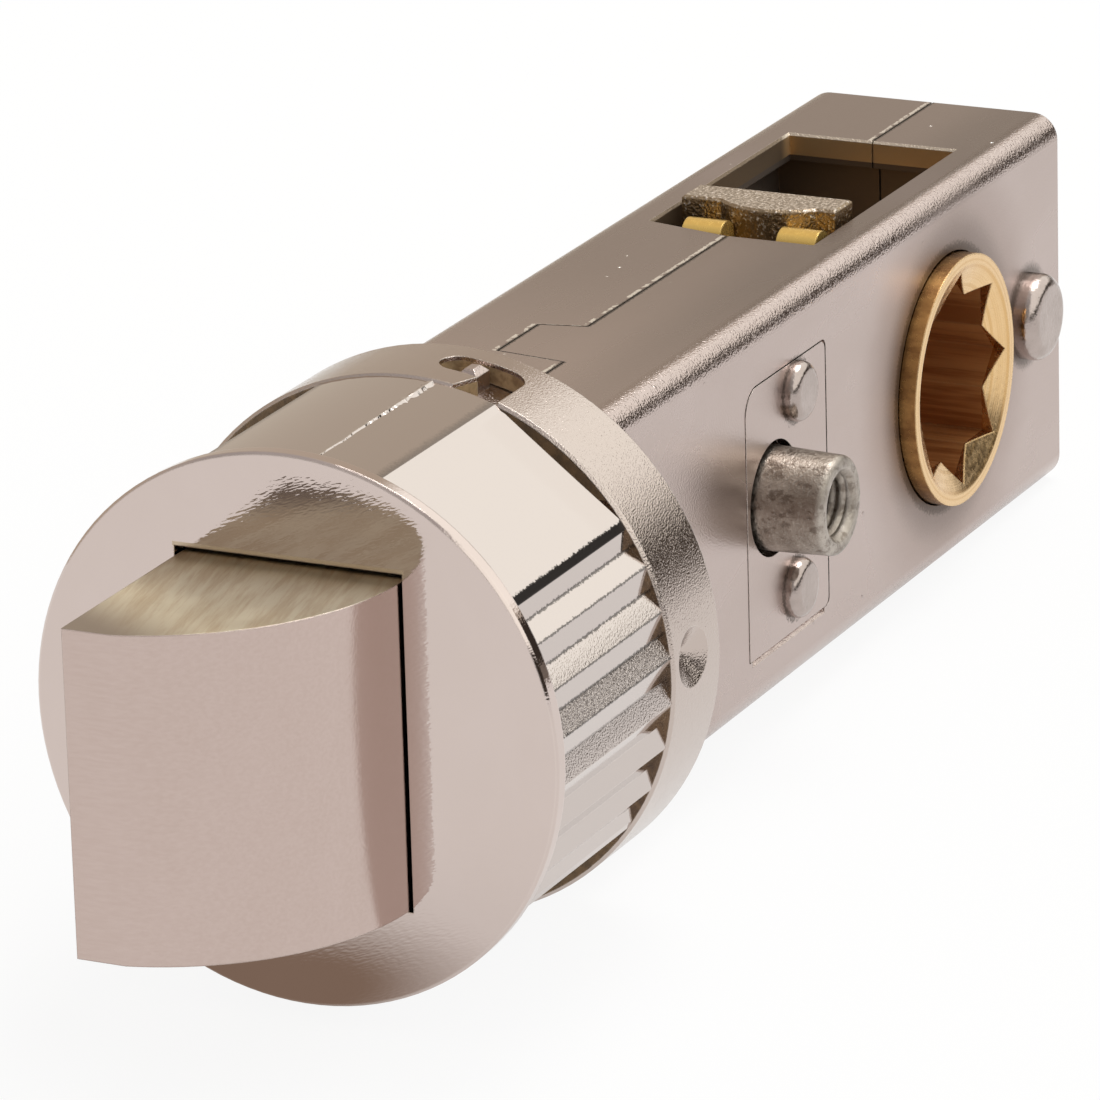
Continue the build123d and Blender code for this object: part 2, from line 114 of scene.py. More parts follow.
# Dark seam, and painted shade round the hub and the rivets
DARK_SEAM_AND_SHADE = (0.10, 0.075, 0.06, 1.0)
# Painted highlight along the top of the bolt's hole
HOLE_EDGE_HIGHLIGHT = (0.62, 0.50, 0.35, 1.0)
# Painted shade over the inside of the case
CASE_INSIDE_SHADE = (0.16, 0.135, 0.118, 1.0)
# Painted shade on the ring's front face
RING_FACE_SHADE = (0.085, 0.055, 0.035, 1.0)
RING_FACE_SHADE_PALE = (0.20, 0.13, 0.07, 1.0)
# Gold of the slot walls, partly a painted highlight
RING_CUT_GOLD_HIGHLIGHT = (0.66, 0.48, 0.26, 1.0)
RING_CUT_STAINED = (0.34, 0.22, 0.11, 1.0)
WALL_GOLD = (0.62, 0.46, 0.27, 1.0)
WALL_BROWN = (0.20, 0.15, 0.105, 1.0)
BEAD = (0.60, 0.52, 0.43, 1.0)
BOLT_TOP = (0.80, 0.67, 0.48, 1.0)
BOLT_TOP_PALE = (1.0, 0.93, 0.74, 1.0)
BOLT_TOP_CORNER = (0.36, 0.30, 0.25, 1.0)
BRASS = (0.62, 0.37, 0.14, 1.0)
BRASS_PALE = (0.80, 0.56, 0.30, 1.0)
BRASS_PATCH = (0.74, 0.50, 0.25, 1.0)
BRASS_SIDE = (0.34, 0.18, 0.07, 1.0)
BRASS_BORE = (0.32, 0.115, 0.032, 1.0)
BRASS_BORE_PALE = (0.52, 0.24, 0.085, 1.0)
# Fingers lightened: painted light
BRASS_FINGER_LIT = (0.86, 0.58, 0.17, 1.0)
ZINC = (0.32, 0.275, 0.235, 1.0)
ZINC_PALE = (0.46, 0.41, 0.36, 1.0)
ZINC_STAIN = (0.16, 0.125, 0.10, 1.0)
ZINC_WORN = (0.64, 0.58, 0.53, 1.0)
SINTER = (0.58, 0.50, 0.42, 1.0)
SINTER_PATCH = (0.66, 0.58, 0.49, 1.0)
SINTER_HOLLOW = (0.30, 0.245, 0.19, 1.0)
# Painted shade for the faces that don't face up
SINTER_SIDE_SHADE = (0.30, 0.21, 0.12, 1.0)
SINTER_DARK = (0.14, 0.105, 0.07, 1.0)
STEEL = (0.50, 0.48, 0.46, 1.0)
STEEL_DARK = (0.22, 0.20, 0.18, 1.0)

# Colours of the studio
FLOOR_GREY = (0.82, 0.82, 0.82, 1.0)
FLOOR_SHADE = (0.30, 0.225, 0.175, 1.0)
GROUND = (0.97, 0.97, 0.97, 1.0)
SIDE_WALL = (0.55, 0.53, 0.52, 1.0)
REAR_WALL = (0.60, 0.52, 0.43, 1.0)
FRONT_WALL = (0.37, 0.35, 0.33, 1.0)
SKIRTING = (0.22, 0.19, 0.165, 1.0)
LOW_BAND = (0.05, 0.041, 0.034, 1.0)
CEILING = (1.0, 0.95, 0.9, 1.0)
SOFT_LIGHT = (1.39, 1.39, 1.32, 1.0)


# Shader node helpers
def add(tree, kind, inputs=None, **settings):
    node = tree.nodes.new(kind)
    for name, value in settings.items():
        setattr(node, name, value)
    for name, value in (inputs or {}).items():
        if isinstance(value, bpy.types.NodeSocket):
            tree.links.new(value, node.inputs[name])
        else:
            node.inputs[name].default_value = value
    return node


def maths(tree, operation, first, second=0.0, clamp=False):
    return add(tree, "ShaderNodeMath", {0: first, 1: second}, operation=operation, use_clamp=clamp).outputs[0]


def times(tree, first, *others):
    for other in others:
        first = maths(tree, "MULTIPLY", first, other)
    return first


def plus(tree, first, *others):
    for other in others:
        first = maths(tree, "ADD", first, other)
    return first


def minus(tree, first, second):
    return maths(tree, "SUBTRACT", first, second)


def largest(tree, first, *others):
    for other in others:
        first = maths(tree, "MAXIMUM", first, other)
    return first


def below(tree, value, limit):
    return maths(tree, "LESS_THAN", value, limit)


def beyond(tree, value, limit):
    return maths(tree, "GREATER_THAN", value, limit)


def unsigned(tree, value):
    return maths(tree, "ABSOLUTE", value)


def blend_colour(tree, factor, first, second):
    node = add(tree, "ShaderNodeMix", data_type="RGBA")
    for index, value in ((0, factor), (6, first), (7, second)):
        if isinstance(value, bpy.types.NodeSocket):
            tree.links.new(value, node.inputs[index])
        else:
            node.inputs[index].default_value = value
    return node.outputs[2]


def ramp(tree, value, low, high, low_out=0.0, high_out=1.0):
    return add(tree, "ShaderNodeMapRange",
               {"Value": value, "From Min": low, "From Max": high, "To Min": low_out, "To Max": high_out},
               interpolation_type="SMOOTHSTEP").outputs["Result"]


# A ramp whose ends are angles in degrees
def turn_ramp(tree, angle, low, high, low_out=0.0, high_out=1.0):
    return ramp(tree, angle, radians(low), radians(high), low_out, high_out)


def object_place(tree):
    return add(tree, "ShaderNodeTexCoord").outputs["Object"]


def vector_maths(tree, operation, first, second):
    return add(tree, "ShaderNodeVectorMath", {0: first, 1: second}, operation=operation).outputs["Vector"]


def length_of(tree, vector):
    return add(tree, "ShaderNodeVectorMath", {0: vector}, operation="LENGTH").outputs["Value"]


def direction_of(tree, vector):
    return add(tree, "ShaderNodeVectorMath", {0: vector}, operation="NORMALIZE").outputs["Vector"]


def dot_of(tree, first, second):
    return add(tree, "ShaderNodeVectorMath", {0: first, 1: second}, operation="DOT_PRODUCT").outputs["Value"]


def new_group(name, inputs, outputs):
    group = bpy.data.node_groups.new(name, "ShaderNodeTree")
    for label, kind, value in inputs:
        group.interface.new_socket(name=label, in_out="INPUT", socket_type=kind).default_value = value
    for label, kind in outputs:
        group.interface.new_socket(name=label, in_out="OUTPUT", socket_type=kind)
    return group, group.nodes.new("NodeGroupInput").outputs, group.nodes.new("NodeGroupOutput")


def close_group(group, sink, results):
    for label, value in results.items():
        group.links.new(value, sink.inputs[label])
    return group


FLOAT = "NodeSocketFloat"
VECTOR = "NodeSocketVector"


# Fine cast or blasted grain: a height and a mask of its tops
def make_grain_group():
    group, source, sink = new_group(
        "casting_grain",
        [("Size", FLOAT, 0.0002), ("Contrast", FLOAT, 0.5)],
        [("Height", FLOAT), ("Tops", FLOAT)])
    scale = maths(group, "DIVIDE", 1.0, source["Size"])
    place = object_place(group)
    height = add(group, "ShaderNodeTexNoise",
                 {"Vector": place, "Scale": scale, "Detail": 1.5, "Roughness": 0.55}).outputs[0]
    tops = ramp(group, height, 0.58, 0.72)
    tops = times(group, tops, source["Contrast"])
    return close_group(group, sink, {"Height": height, "Tops": tops})


# Cloudy patches of tarnish or plating tone
def make_mottle_group():
    group, source, sink = new_group(
        "plating_mottle",
        [("Size", FLOAT, 0.003), ("Stretch", VECTOR, (1.0, 1.0, 1.0)), ("Turn", VECTOR, (0.0, 0.0, 0.0))],
        [("Patches", FLOAT)])
    scale = maths(group, "DIVIDE", 1.0, source["Size"])
    place = add(group, "ShaderNodeMapping",
                {"Vector": object_place(group), "Rotation": source["Turn"], "Scale": source["Stretch"]},
                vector_type="TEXTURE")
    cloud = add(group, "ShaderNodeTexNoise",
                {"Vector": place.outputs[0], "Scale": scale, "Detail": 4.0, "Roughness": 0.6,
                 "Distortion": 0.3}).outputs[0]
    return close_group(group, sink, {"Patches": ramp(group, cloud, 0.32, 0.68)})


# Long fine lines left by brushing, drawing or turning along one direction
def make_line_group():
    group, source, sink = new_group(
        "brushed_lines",
        [("Stretch", VECTOR, (1.0, 1.0, 1.0)), ("Turn", VECTOR, (0.0, 0.0, 0.0)), ("Size", FLOAT, 0.0002),
         ("Detail", FLOAT, 4.0)],
        [("Lines", FLOAT)])
    scale = maths(group, "DIVIDE", 1.0, source["Size"])
    place = add(group, "ShaderNodeMapping",
                {"Vector": object_place(group), "Rotation": source["Turn"], "Scale": source["Stretch"]},
                vector_type="TEXTURE")
    lines = add(group, "ShaderNodeTexNoise",
                {"Vector": place.outputs[0], "Scale": scale, "Detail": source["Detail"], "Roughness": 0.7})
    return close_group(group, sink, {"Lines": lines.outputs[0]})


# Rings round an axis along Y, as a lathe leaves them
def make_turned_group():
    group, source, sink = new_group(
        "turned_rings",
        [("Centre", VECTOR, (0.0, 0.0, 0.0)), ("Pitch", FLOAT, 0.0002)],
        [("Rings", FLOAT), ("Radius", FLOAT)])
    away = vector_maths(group, "SUBTRACT", object_place(group), source["Centre"])
    flat = vector_maths(group, "MULTIPLY", away, (1.0, 0.0, 1.0))
    radius = length_of(group, flat)
    steps = maths(group, "DIVIDE", radius, source["Pitch"])
    spread = add(group, "ShaderNodeCombineXYZ", {"X": steps})
    rings = add(group, "ShaderNodeTexNoise",
                {"Vector": spread.outputs[0], "Scale": 1.0, "Detail": 2.0, "Roughness": 0.6})
    return close_group(group, sink, {"Rings": rings.outputs[0], "Radius": radius})


# Scattered small pits and specks
def make_pit_group():
    group, source, sink = new_group(
        "pits_and_specks",
        [("Spacing", FLOAT, 0.0008), ("Amount", FLOAT, 0.3), ("Reach", FLOAT, 0.18)],
        [("Pits", FLOAT)])
    scale = maths(group, "DIVIDE", 1.0, source["Spacing"])
    place = object_place(group)
    wobble = add(group, "ShaderNodeTexNoise", {"Vector": place, "Scale": times(group, scale, 4.0)})
    shifted = add(group, "ShaderNodeMix", {0: 0.0002}, data_type="VECTOR")
    group.links.new(place, shifted.inputs[4])
    group.links.new(wobble.outputs[1], shifted.inputs[5])
    cells = add(group, "ShaderNodeTexVoronoi", {"Vector": shifted.outputs[1], "Scale": scale})
    near = ramp(group, cells.outputs["Distance"], source["Reach"], 0.0)
    chosen = add(group, "ShaderNodeSeparateColor", {0: cells.outputs["Color"]}).outputs[0]
    some = below(group, chosen, source["Amount"])
    return close_group(group, sink, {"Pits": times(group, near, some)})


# Slightly rounded edges, and a broken bright line along them: partly wear, partly a painted highlight
def make_edge_group():
    group, source, sink = new_group(
        "edge_wear_and_highlight",
        [("Width", FLOAT, 0.00012), ("Break", FLOAT, 0.4), ("Size", FLOAT, 0.0003)],
        [("Wear and highlight", FLOAT), ("Rounded", VECTOR)])
    rounded = add(group, "ShaderNodeBevel", {"Radius": source["Width"]}, samples=3).outputs[0]
    true_normal = add(group, "ShaderNodeNewGeometry").outputs["Normal"]
    edge = ramp(group, dot_of(group, rounded, true_normal), 0.995, 0.90)
    scale = maths(group, "DIVIDE", 1.0, source["Size"])
    chips = add(group, "ShaderNodeTexNoise", {"Vector": object_place(group), "Scale": scale, "Detail": 2.0})
    low = times(group, source["Break"], 0.8)
    high = plus(group, low, 0.2)
    kept = add(group, "ShaderNodeMapRange", {"Value": chips.outputs[0], "From Min": low, "From Max": high})
    wear_and_highlight = maths(group, "MULTIPLY", edge, kept.outputs["Result"], True)
    return close_group(group, sink, {"Wear and highlight": wear_and_highlight, "Rounded": rounded})


GRAIN = make_grain_group()
MOTTLE = make_mottle_group()
LINES = make_line_group()
TURNED = make_turned_group()
PITS = make_pit_group()
EDGES = make_edge_group()


def use(tree, group, **values):
    return add(tree, "ShaderNodeGroup", {name.replace("_", " "): value for name, value in values.items()},
               node_tree=group).outputs


def finish_of(name, tint, roughness, bump, distance, edges=None, metallic=1.0):
    material = bpy.data.materials[name]
    tree = material.node_tree
    shader = tree.nodes["Principled BSDF"]
    relief = add(tree, "ShaderNodeBump", {"Height": bump, "Distance": distance})
    if edges:
        tree.links.new(edges["Rounded"], relief.inputs["Normal"])
    for socket, value in (("Base Color", tint), ("Roughness", roughness), ("Metallic", metallic),
                          ("Normal", relief.outputs[0])):
        if isinstance(value, bpy.types.NodeSocket):
            tree.links.new(value, shader.inputs[socket])
        else:
            shader.inputs[socket].default_value = value
    return material


def new_material(name):
    material = bpy.data.materials.new(name)
    material.use_nodes = True
    return material.node_tree


def parts_of(tree, vector):
    return add(tree, "ShaderNodeSeparateXYZ", {0: vector}).outputs


def facing_of(tree):
    return parts_of(tree, add(tree, "ShaderNodeNewGeometry").outputs["Normal"])


def brushed_disc():
    tree = new_material("brushed_disc")
    patches = use(tree, MOTTLE, Size=0.0045, Stretch=(1.0, 1.0, 1.4))["Patches"]
    strokes = use(tree, LINES, Stretch=(1.0, 3.5, 1.0), Turn=(radians(20), 0.0, 0.0), Size=0.0001,
                  Detail=0.5)["Lines"]
    fine = use(tree, GRAIN, Size=0.0005, Contrast=0.3)
    edges = use(tree, EDGES, Width=0.0001, Break=0.3, Size=0.0004)
    tint = blend_colour(tree, times(tree, patches, 0.35), NICKEL_DISC, NICKEL_DISC_PATCH)
    # Broken bright line along the edges: wear and a painted highlight
    tint = blend_colour(tree, times(tree, edges["Wear and highlight"], 0.3), tint, NICKEL_BRIGHT)
    place = parts_of(tree, object_place(tree))

    # Painted golden highlight along the top of the bolt's hole, where its lit edge wall shows
    from_edge = unsigned(tree, minus(tree, place["Z"], HOLE_TOP_Z + 0.00007))
    lit_hole_edge = times(tree, ramp(tree, from_edge, 0.00012, 0.00008),
                      below(tree, unsigned(tree, place["Y"]), HOLE_HALF_WIDTH))
    tint = blend_colour(tree, times(tree, lit_hole_edge, 0.75), tint, HOLE_EDGE_HIGHLIGHT)
    rough = plus(tree, ramp(tree, patches, 0.0, 1.0, 0.04, 0.055), times(tree, lit_hole_edge, 0.4))
    height = plus(tree, strokes, times(tree, fine["Height"], 0.5))
    return finish_of("brushed_disc", tint, rough, height, 0.0000034, edges)


def brushed_bolt():
    tree = new_material("brushed_bolt")
    along = (0.0, 0.0, radians(11))
    patches = use(tree, MOTTLE, Size=0.003, Stretch=(1.0, 1.0, 2.0))["Patches"]
    fine = use(tree, GRAIN, Size=0.00014, Contrast=0.3)
    streaks = use(tree, LINES, Stretch=(10.0, 1.0, 1.0), Turn=along, Size=0.0006)["Lines"]
    hairs = use(tree, LINES, Stretch=(12.0, 1.0, 1.0), Turn=along, Size=0.00014)["Lines"]
    combed = use(tree, LINES, Stretch=(1.0, 8.0, 1.0), Size=0.00016)["Lines"]
    edges = use(tree, EDGES, Width=0.0001, Break=0.3, Size=0.0005)
    top = ramp(tree, unsigned(tree, facing_of(tree)["Z"]), 0.7, 0.9)
    place = parts_of(tree, object_place(tree))
    corner = ramp(tree, plus(tree, place["X"], times(tree, place["Y"], -0.6)), 0.0076, 0.0125)
    tint = blend_colour(tree, times(tree, patches, 0.4), NICKEL_BOLT, NICKEL_BOLT_PATCH)
    tint = blend_colour(tree, ramp(tree, combed, 0.3, 0.7, 0.0, 0.4), tint, NICKEL_BOLT_COMBED)
    top_tint = blend_colour(tree, ramp(tree, streaks, 0.36, 0.62), BOLT_TOP, BOLT_TOP_PALE)
    top_tint = blend_colour(tree, ramp(tree, hairs, 0.3, 0.7, 0.0, 0.4), top_tint, BOLT_TOP_PALE)
    top_tint = blend_colour(tree, corner, top_tint, BOLT_TOP_CORNER)
    tint = blend_colour(tree, top, tint, top_tint)
    # Broken bright line along the edges: wear and a painted highlight
    tint = blend_colour(tree, times(tree, edges["Wear and highlight"], 0.4), tint, NICKEL_BRIGHT)
    rough = plus(tree, ramp(tree, patches, 0.0, 1.0, 0.13, 0.16), times(tree, top, 0.23))
    height = plus(tree, times(tree, combed, 0.8), times(tree, fine["Height"], 0.4))
    return finish_of("brushed_bolt", tint, rough, height, 0.000006, edges)


# Clock angle round the bolt's line, from the top towards +Y, and the distance from it
def clock_of(tree, place):
    angle = maths(tree, "ARCTAN2", place["Y"], place["Z"])
    flat = add(tree, "ShaderNodeCombineXYZ", {"Y": place["Y"], "Z": place["Z"]})
    return angle, length_of(tree, flat.outputs[0])


# Distance from an axis along Y
def distance_from(tree, place, x, z):
    flat = add(tree, "ShaderNodeCombineXYZ",
               {"X": minus(tree, place["X"], x), "Z": minus(tree, place["Z"], z)})
    return length_of(tree, flat.outputs[0])


# Painted shade on the upward faces: darker towards the rear and the boss side
def top_shade(tree, place, upper):
    rearward = times(tree, ramp(tree, place["X"], -0.016, -0.043, 0.0, 0.30), upper)
    sideward = times(tree, ramp(tree, place["Y"], 0.001, 0.005, 0.0, 0.16), upper,
                     below(tree, place["X"], NOSE_REAR_X))
    return plus(tree, rearward, sideward)


# Where the nose's serrations are, by clock angle
def serrated_part(tree, angle):
    return times(tree, turn_ramp(tree, angle, 57.2, 58.0), turn_ramp(tree, angle, 124.0, 121.0))


# Painted dark reflections and shade on the nose: the ragged dark stripe where the flat breaks, dark lines
# along the serrations, the arc's dusky borders
def painted_nose_darks(tree, angle, away, rag, serrated):
    shaky = plus(tree, angle, times(tree, rag, 0.028))
    stripe = times(tree, turn_ramp(tree, shaky, 54.9, 55.3), turn_ramp(tree, angle, 57.3, 57.1))
    deep = plus(tree, away, times(tree, rag, 0.00009))
    lines = largest(tree, ramp(tree, deep, 0.01225, 0.01223), ramp(tree, deep, 0.01257, 0.01259))
    lines = times(tree, lines, turn_ramp(tree, angle, 95.0, 85.0))
    lines = times(tree, times(tree, lines, serrated), 0.7)
    brow = times(tree, turn_ramp(tree, shaky, 17.6, 19.9, 0.0, 0.5), below(tree, angle, radians(20.02)))
    return largest(tree, stripe, lines, brow)


# Distance to the stepped line where the two halves meet
def seam_distance(tree, place, rag):
    front_step = add(tree, "ShaderNodeMapRange", {
        "Value": place["X"], "From Min": -0.02555, "From Max": -0.02505,
        "To Min": -0.0023, "To Max": SEAM_Y}).outputs["Result"]
    rear_step = add(tree, "ShaderNodeMapRange", {
        "Value": place["X"], "From Min": -0.03045, "From Max": -0.02995,
        "To Min": 0.0023, "To Max": 0.0}).outputs["Result"]
    from_seam = minus(tree, place["Y"], plus(tree, front_step, rear_step))
    return plus(tree, minus(tree, from_seam, 0.00005), times(tree, rag, 0.0002))


# Painted shade in the corner round the follower's hub and round the rivets
def painted_contact_shade(tree, place, rag, from_hub):
    from_rivet = plus(tree, distance_from(tree, place, REAR_RIVET_X, REAR_RIVET_Z), times(tree, rag, 0.0005))
    from_stake = maths(tree, "MINIMUM", distance_from(tree, place, *UPPER_STAKE),
                       distance_from(tree, place, *LOWER_STAKE))
    from_stake = plus(tree, from_stake, times(tree, rag, 0.0007))
    return largest(tree,
                   times(tree, ramp(tree, from_hub, 0.0072, 0.0065), 0.85),
                   times(tree, ramp(tree, from_hub, 0.0088, 0.0067), 0.4),
                   times(tree, ramp(tree, from_rivet, 0.0029, 0.0023), 0.8),
                   times(tree, ramp(tree, from_stake, 0.00175, 0.0015), 0.85))


# Fine grain on the upper facets of the middle serrations
def serration_grain(tree, place, facing, across, angle, away, serrated):
    lean = minus(tree, times(tree, unsigned(tree, facing["Y"]), place["Z"]), times(tree, facing["Z"], across))
    leaning = ramp(tree, maths(tree, "DIVIDE", lean, away), -0.05, -0.2)
    middle = times(tree, turn_ramp(tree, angle, 68.0, 83.0, 0.3, 2.9),
                   turn_ramp(tree, angle, 86.0, 99.0, 1.0, 0.04))
    return times(tree, times(tree, middle, leaning), serrated)


# The surface's direction, with the nose's flats rolled over a little towards the ring
def rolled_flats(tree, place, angle, nose, rounded):
    roll = times(tree, ramp(tree, place["X"], -0.0093, -0.0113), nose, turn_ramp(tree, angle, 21.5, 23.0),
                 turn_ramp(tree, angle, 55.0, 54.6))
    tilt = add(tree, "ShaderNodeCombineXYZ", {"X": times(tree, roll, 0.5)})
    return direction_of(tree, vector_maths(tree, "ADD", rounded, tilt.outputs[0]))


def plated_case():
    tree = new_material("plated_case")
    place = parts_of(tree, object_place(tree))
    facing = facing_of(tree)
    across = unsigned(tree, place["Y"])
    upward = unsigned(tree, place["Z"])
    nose = beyond(tree, place["X"], NOSE_REAR_X + 0.00002)
    on_case = below(tree, place["X"], NOSE_REAR_X)
    turn, away = clock_of(tree, place)
    angle = unsigned(tree, turn)
    serrated = serrated_part(tree, angle)
    patches = use(tree, MOTTLE, Size=0.006, Stretch=(2.0, 1.0, 1.0))["Patches"]
    fine = use(tree, GRAIN, Size=0.00009, Contrast=0.6)
    coarse = use(tree, GRAIN, Size=0.00012, Contrast=0.6)["Height"]
    rag = minus(tree, use(tree, GRAIN, Size=0.00014, Contrast=1.0)["Height"], 0.5)
    broken = use(tree, MOTTLE, Size=0.0007)["Patches"]
    specks = use(tree, PITS, Spacing=0.0016, Amount=0.35, Reach=0.08)["Pits"]
    edges = use(tree, EDGES, Width=0.00006, Break=0.3, Size=0.0003)
    upper = ramp(tree, facing["Z"], 0.9, 0.98)
    tint = blend_colour(tree, times(tree, patches, 0.5), NICKEL, NICKEL_PATCH)
    tint = blend_colour(tree, nose, tint, NOSE_NICKEL)
    # Broken bright line along the edges: wear and a painted highlight
    tint = blend_colour(tree, times(tree, edges["Wear and highlight"], 0.6), tint, NICKEL_BRIGHT)
    # Painted shade on the upward faces
    tint = blend_colour(tree, top_shade(tree, place, upper), tint, BLACK)
    tint = blend_colour(tree, times(tree, specks, upper), tint, BURR_AND_HIGHLIGHT)
    # Painted dark reflections and shade on the nose
    dark = times(tree, painted_nose_darks(tree, angle, away, rag, serrated), nose)
    tint = blend_colour(tree, dark, tint, NOSE_PAINTED_DARK)

    # Dark seam, with a broken painted highlight along its edge beside it
    from_seam = seam_distance(tree, place, rag)
    seam = times(tree, ramp(tree, unsigned(tree, from_seam), 0.00014, 0.0001), on_case)
    seam_highlight = times(tree, ramp(tree, unsigned(tree, plus(tree, from_seam, 0.0002)), 0.00013, 0.00008), on_case)
    tint = blend_colour(tree, times(tree, seam_highlight, ramp(tree, broken, 0.25, 0.55)), tint, BURR_AND_HIGHLIGHT)
    tint = blend_colour(tree, times(tree, seam, 0.9), tint, DARK_SEAM_AND_SHADE)
    # Painted shade round the follower's hub and the rivets
    from_hub = plus(tree, distance_from(tree, place, FOLLOWER_X, 0.0), times(tree, rag, 0.0006))
    tint = blend_colour(tree, times(tree, painted_contact_shade(tree, place, rag, from_hub), on_case), tint, DARK_SEAM_AND_SHADE)

    # Painted shade over the inside, the cut walls of the windows and their beaded rims
    inner = times(tree, below(tree, across, CASE_INNER_HALF_WIDTH),
                  below(tree, upward, CASE_HALF_HEIGHT - 0.0011),
                  below(tree, place["X"], -0.0100),
                  beyond(tree, place["X"], CASE_REAR_X + 0.0002))
    near_window = times(tree, below(tree, across, WINDOW_HALF_WIDTH + 0.00014),
                        below(tree, place["X"], -0.045),
                        beyond(tree, place["X"], -0.0640))
    rim = times(tree, near_window, below(tree, upward, CASE_HALF_HEIGHT - 0.000002))
    walls = times(tree, near_window, below(tree, upward, CASE_HALF_HEIGHT - 0.000125))
    rear = ramp(tree, place["X"], -0.0625, -0.0636)
    tint = blend_colour(tree, rim, tint, blend_colour(tree, rear, WALL_BROWN, BEAD))
    tint = blend_colour(tree, walls, tint, blend_colour(tree, rear, WALL_BROWN, WALL_GOLD))
    # Painted shade over the inside of the case
    tint = blend_colour(tree, inner, tint, CASE_INSIDE_SHADE)

    # The flat faces are duller than the rounded edges and the nose
    off_nose = minus(tree, 1.0, nose)
    flat = largest(tree, unsigned(tree, facing["Y"]), unsigned(tree, facing["Z"]))
    flat = times(tree, ramp(tree, flat, 0.985, 1.0), off_nose)
    rough = plus(tree, ramp(tree, patches, 0.0, 1.0, 0.085, 0.11), times(tree, flat, 0.18))
    rough = minus(tree, rough, times(tree, nose, 0.035))
    rough = plus(tree, rough, times(tree, largest(tree, rim, inner, dark), 0.3))
    rough = plus(tree, rough, ramp(tree, from_hub, 0.0120, 0.0075, 0.0, 0.25))

    # Grain of the serrations, and a coarser one over the body
    grainy = serration_grain(tree, place, facing, across, angle, away, serrated)
    on_nose = times(tree, fine["Height"], plus(tree, grainy, 0.03), nose)
    body_grain_kept = minus(tree, 1.0, largest(tree, inner, walls))
    on_body = times(tree, coarse, ramp(tree, flat, 0.0, 1.0, 2.6, 0.8), off_nose)
    height = plus(tree, on_nose, times(tree, on_body, body_grain_kept))
    height = plus(tree, height, times(tree, times(tree, specks, off_nose), 3.0))
    normal = rolled_flats(tree, place, angle, nose, edges["Rounded"])
    return finish_of("plated_case", tint, rough, height, 0.000014, {"Rounded": normal})


def polished_ring():
    tree = new_material("polished_ring")
    place = parts_of(tree, object_place(tree))
    away = clock_of(tree, place)[1]
    patches = use(tree, MOTTLE, Size=0.003)["Patches"]
    stains = use(tree, MOTTLE, Size=0.0007)["Patches"]
    fine = use(tree, GRAIN, Size=0.00009, Contrast=0.5)
    edges = use(tree, EDGES, Width=0.00008, Break=0.35, Size=0.0004)
    tint = blend_colour(tree, times(tree, patches, 0.4), NICKEL_RING, NICKEL_RING_PATCH)

    # Golden walls of the slots, their gold partly a painted highlight; the front face darkened as painted
    # shade, in patches
    cut = ramp(tree, away, RING_R - 0.00016, RING_R - 0.00022)
    cut = times(tree, cut, beyond(tree, unsigned(tree, place["Z"]), 0.008))
    cut_tint = blend_colour(tree, stains, RING_CUT_GOLD_HIGHLIGHT, RING_CUT_STAINED)
    tint = blend_colour(tree, times(tree, cut, 0.9), tint, cut_tint)
    # Painted shade on the ring's front face, in patches
    front = times(tree, ramp(tree, facing_of(tree)["X"], 0.8, 0.95),
                  beyond(tree, place["X"], NOSE_REAR_X - 0.0003))
    face_shade_tint = blend_colour(tree, stains, RING_FACE_SHADE, RING_FACE_SHADE_PALE)
    tint = blend_colour(tree, times(tree, front, 0.9), tint, face_shade_tint)
    # Broken bright line along the edges: wear and a painted highlight
    tint = blend_colour(tree, times(tree, edges["Wear and highlight"], 0.5), tint, NICKEL_BRIGHT)
    rough = plus(tree, ramp(tree, patches, 0.0, 1.0, 0.08, 0.10), times(tree, cut, 0.3))
    metallic = minus(tree, 1.0, times(tree, cut, 0.45))
    return finish_of("polished_ring", tint, rough, fine["Height"], 0.000021, edges, metallic)


def rivet_nickel():
    tree = new_material("rivet_nickel")
    patches = use(tree, MOTTLE, Size=0.0012)["Patches"]
    fine = use(tree, GRAIN, Size=0.0002, Contrast=0.5)
    pits = use(tree, PITS, Spacing=0.0006, Amount=0.4, Reach=0.16)["Pits"]
    tint = blend_colour(tree, times(tree, patches, 0.5), NICKEL_RIVET, NICKEL_RIVET_PATCH)
    tint = blend_colour(tree, times(tree, pits, 0.6), tint, NICKEL_DARK)
    rough = ramp(tree, fine["Height"], 0.3, 0.7, 0.16, 0.26)
    height = minus(tree, fine["Height"], times(tree, pits, 0.6))
    return finish_of("rivet_nickel", tint, rough, height, 0.000016)


